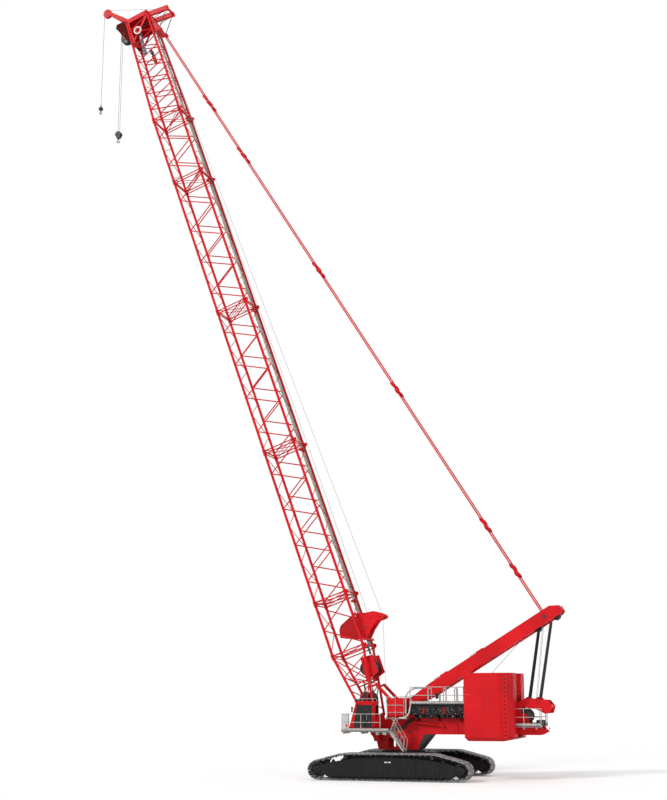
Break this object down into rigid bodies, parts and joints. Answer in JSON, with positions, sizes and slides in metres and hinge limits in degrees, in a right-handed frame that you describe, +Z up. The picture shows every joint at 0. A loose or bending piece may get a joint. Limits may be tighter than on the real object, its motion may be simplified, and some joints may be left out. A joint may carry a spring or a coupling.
{
  "type": "scale model of a crawler crane at 1:2, with a lattice boom",
  "caption": "Lattice boom crawler crane at half size: tracked base, slewing deck with cab, counterweight and live mast, luffing boom with pendants and hooks.",
  "frame": {"origin": "on the ground under the slewing axis", "axes": "+X forward to the boom side, +Y to the crane's left, +Z up"},
  "size_m": [18.7002, 4.25, 31.5856],
  "materials": {
    "red_paint": "gloss",
    "black_paint": "satin",
    "shoe_steel": "worn",
    "dark_steel": "satin",
    "grey_rail": "satin",
    "seat_cover": "matte",
    "wire_rope": "satin"
  },
  "bodies": {
    "undercarriage": {"carbody": "black_paint", "slewing_ring": "black_paint", "crawler_frame_left": "black_paint", "crawler_frame_right": "black_paint", "track_left": "shoe_steel", "track_right": "shoe_steel", "track_rollers_left": "dark_steel", "track_rollers_right": "dark_steel", "end_wheels_left": "dark_steel", "end_wheels_right": "dark_steel"},
    "upperworks": {"rotating_bed": "red_paint", "luffing_drum_stand": "red_paint", "bed_drum_stand": "red_paint", "counterweight_left": "red_paint", "counterweight_right": "red_paint", "counterweight_tray": "red_paint", "rear_gantry": "red_paint", "machine_house_left": "dark_steel", "machine_house_right": "dark_steel", "engine": "dark_steel", "catwalk_left": "grey_rail", "catwalk_right": "grey_rail", "cab_shell": "red_paint", "cab_roof": "red_paint", "cab_seat": "seat_cover", "cab_platform": "grey_rail", "access_ladder": "grey_rail", "service_box_left": "red_paint", "service_box_right": "red_paint", "rear_walkway_left": "grey_rail", "rear_walkway_right": "grey_rail"},
    "cab_door": {"cab_door": "red_paint"},
    "luffing_drum": {"luffing_drum": "dark_steel"},
    "bed_drum": {"bed_drum": "dark_steel"},
    "boom": {"boom_butt": "red_paint", "boom_guide_section": "red_paint", "boom_insert_1": "red_paint", "boom_insert_2": "red_paint", "boom_insert_3": "red_paint", "boom_short_insert": "red_paint", "boom_top_section": "red_paint", "boom_head": "red_paint", "boom_tip_arm": "red_paint", "boom_rear_arms": "red_paint", "boom_drum_stand": "red_paint", "rope_guide": "red_paint", "boom_stops": "red_paint", "boom_walkway": "grey_rail"},
    "boom_drum": {"boom_drum": "dark_steel"},
    "head_sheaves": {"head_sheaves": "dark_steel"},
    "tip_sheave": {"tip_sheave": "dark_steel"},
    "main_hook": {"main_hook_block": "dark_steel", "main_hook_ropes": "wire_rope"},
    "tip_hook": {"tip_hook": "dark_steel", "tip_hook_rope": "wire_rope"},
    "mast": {"mast_legs": "red_paint", "mast_sheaves": "dark_steel"},
    "pendants": {"pendants_left": "red_paint", "pendants_right": "red_paint"}
  },
  "joints": [
    {"name": "swing", "type": "hinge", "parent": "undercarriage", "child": "upperworks", "pos_m": [0, 0, 0.89], "axis": [0, 0, 1], "continuous": true},
    {"name": "boom_luff", "type": "hinge", "parent": "upperworks", "child": "boom", "pos_m": [0.84, 0, 1.54], "axis": [0, -1, 0], "range_deg": [-55, 12]},
    {"name": "mast_luff", "type": "hinge", "parent": "upperworks", "child": "mast", "pos_m": [0.08, 0, 2.24], "axis": [0, -1, 0], "range_deg": [-63.8, 13.92]},
    {"name": "pendant_pivot", "type": "hinge", "parent": "boom", "child": "pendants", "pos_m": [10.04622, 0, 30.05264], "axis": [0, -1, 0], "range_deg": [-0.109, 0.496]},
    {"name": "main_hook_hang", "type": "hinge", "parent": "boom", "child": "main_hook", "pos_m": [11.73333, 0, 30.03808], "axis": [0, -1, 0], "range_deg": [-12, 55]},
    {"name": "tip_hook_hang", "type": "hinge", "parent": "boom", "child": "tip_hook", "pos_m": [12.70622, 0, 31.39074], "axis": [0, -1, 0], "range_deg": [-12, 55]},
    {"name": "head_sheave_spin", "type": "hinge", "parent": "boom", "child": "head_sheaves", "pos_m": [11.73333, 0, 30.03808], "axis": [0, -1, 0], "continuous": true},
    {"name": "tip_sheave_spin", "type": "hinge", "parent": "boom", "child": "tip_sheave", "pos_m": [12.70622, 0, 31.39074], "axis": [0, -1, 0], "continuous": true},
    {"name": "boom_drum_spin", "type": "hinge", "parent": "boom", "child": "boom_drum", "pos_m": [1.16253, 0, 3.70677], "axis": [0, -1, 0], "continuous": true},
    {"name": "bed_drum_spin", "type": "hinge", "parent": "upperworks", "child": "bed_drum", "pos_m": [-0.62, 0, 2.01], "axis": [0, -1, 0], "continuous": true},
    {"name": "luffing_drum_spin", "type": "hinge", "parent": "upperworks", "child": "luffing_drum", "pos_m": [-4.33, 0, 2.09], "axis": [0, -1, 0], "continuous": true},
    {"name": "cab_door_slide", "type": "slide", "parent": "upperworks", "child": "cab_door", "axis": [-1, 0, 0], "range_m": [0, 0.42]}
  ],
  "couplings": [
    {"joint": "mast_luff", "follows": "boom_luff", "ratio": 1.16},
    {"joint": "pendant_pivot", "follows": "boom_luff", "ratio": -0.009},
    {"joint": "main_hook_hang", "follows": "boom_luff", "ratio": -1},
    {"joint": "tip_hook_hang", "follows": "boom_luff", "ratio": -1}
  ]
}
